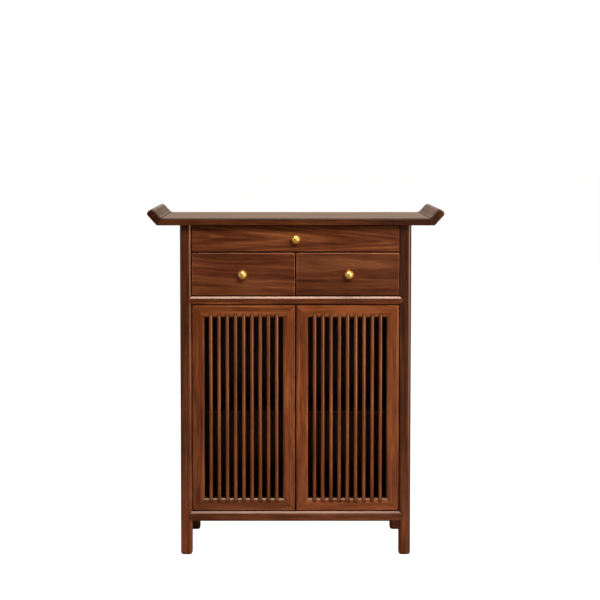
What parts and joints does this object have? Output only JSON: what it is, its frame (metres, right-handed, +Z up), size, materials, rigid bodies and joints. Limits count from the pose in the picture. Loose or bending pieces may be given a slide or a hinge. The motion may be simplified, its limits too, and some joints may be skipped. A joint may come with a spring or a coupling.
{
  "type": "household altar cabinet",
  "caption": "Tall narrow wooden altar cabinet: a top with upturned ends on slender legs, small drawers with ball knobs, and a cupboard behind doors of upright spindles.",
  "frame": {"origin": "on the floor, under the middle of the cabinet's bounding box", "axes": "+Z up, -Y out of the doors' and drawers' front, +X towards the right-hand side as seen from the front"},
  "size_m": [0.9144, 0.4, 1.0841],
  "materials": {
    "walnut_top": "satin lacquer over the darkest walnut",
    "walnut_case": "satin lacquer over dark walnut",
    "walnut_drawer": "satin lacquer over dark walnut, grain level",
    "walnut_door": "satin lacquer over warm walnut",
    "walnut_spindle": "satin lacquer over warm walnut, grain upright",
    "walnut_inside": "thin dark stain, matt",
    "drawer_wood": "bare lighter wood, sanded",
    "brass": "satin polish",
    "pivot_steel": "blackened"
  },
  "bodies": {
    "cabinet": {"top_board": "walnut_top", "top_end_left": "walnut_top", "top_end_right": "walnut_top", "leg_front_left": "walnut_case", "leg_front_right": "walnut_case", "leg_rear_left": "walnut_case", "leg_rear_right": "walnut_case", "rail_front_middle": "walnut_case", "rail_front_bottom": "walnut_case", "rail_side_left": "walnut_case", "rail_side_right": "walnut_case", "rail_rear_bottom": "walnut_case", "side_panel_left": "walnut_case", "side_panel_right": "walnut_case", "back_panel": "walnut_case", "bottom_board": "walnut_inside", "shelf": "walnut_case", "dust_board": "walnut_inside", "drawer_board": "walnut_inside", "drawer_divider": "walnut_inside"},
    "drawer_top": {"drawer_top_front": "walnut_drawer", "drawer_top_box": "drawer_wood", "drawer_top_knob": "brass"},
    "drawer_left": {"drawer_left_front": "walnut_drawer", "drawer_left_box": "drawer_wood", "drawer_left_knob": "brass"},
    "drawer_right": {"drawer_right_front": "walnut_drawer", "drawer_right_box": "drawer_wood", "drawer_right_knob": "brass"},
    "door_left": {"door_left_rail_top": "walnut_door", "door_left_rail_bottom": "walnut_door", "door_left_stile_outer": "walnut_door", "door_left_stile_inner": "walnut_door", "door_left_spindle_1": "walnut_spindle", "door_left_spindle_2": "walnut_spindle", "door_left_spindle_3": "walnut_spindle", "door_left_spindle_4": "walnut_spindle", "door_left_spindle_5": "walnut_spindle", "door_left_spindle_6": "walnut_spindle", "door_left_spindle_7": "walnut_spindle", "door_left_spindle_8": "walnut_spindle", "door_left_spindle_9": "walnut_spindle", "door_left_pivot_top": "pivot_steel", "door_left_pivot_bottom": "pivot_steel"},
    "door_right": {"door_right_rail_top": "walnut_door", "door_right_rail_bottom": "walnut_door", "door_right_stile_outer": "walnut_door", "door_right_stile_inner": "walnut_door", "door_right_spindle_1": "walnut_spindle", "door_right_spindle_2": "walnut_spindle", "door_right_spindle_3": "walnut_spindle", "door_right_spindle_4": "walnut_spindle", "door_right_spindle_5": "walnut_spindle", "door_right_spindle_6": "walnut_spindle", "door_right_spindle_7": "walnut_spindle", "door_right_spindle_8": "walnut_spindle", "door_right_spindle_9": "walnut_spindle", "door_right_pivot_top": "pivot_steel", "door_right_pivot_bottom": "pivot_steel"}
  },
  "joints": [
    {"name": "drawer_top_slide", "type": "slide", "parent": "cabinet", "child": "drawer_top", "axis": [0, -1, 0], "range_m": [0, 0.22]},
    {"name": "drawer_left_slide", "type": "slide", "parent": "cabinet", "child": "drawer_left", "axis": [0, -1, 0], "range_m": [0, 0.22]},
    {"name": "drawer_right_slide", "type": "slide", "parent": "cabinet", "child": "drawer_right", "axis": [0, -1, 0], "range_m": [0, 0.22]},
    {"name": "door_left_hinge", "type": "hinge", "parent": "cabinet", "child": "door_left", "pos_m": [-0.313, -0.1575, 0.4615], "axis": [0, 0, -1], "range_deg": [0, 110]},
    {"name": "door_right_hinge", "type": "hinge", "parent": "cabinet", "child": "door_right", "pos_m": [0.313, -0.1575, 0.4615], "axis": [0, 0, 1], "range_deg": [0, 110]}
  ]
}
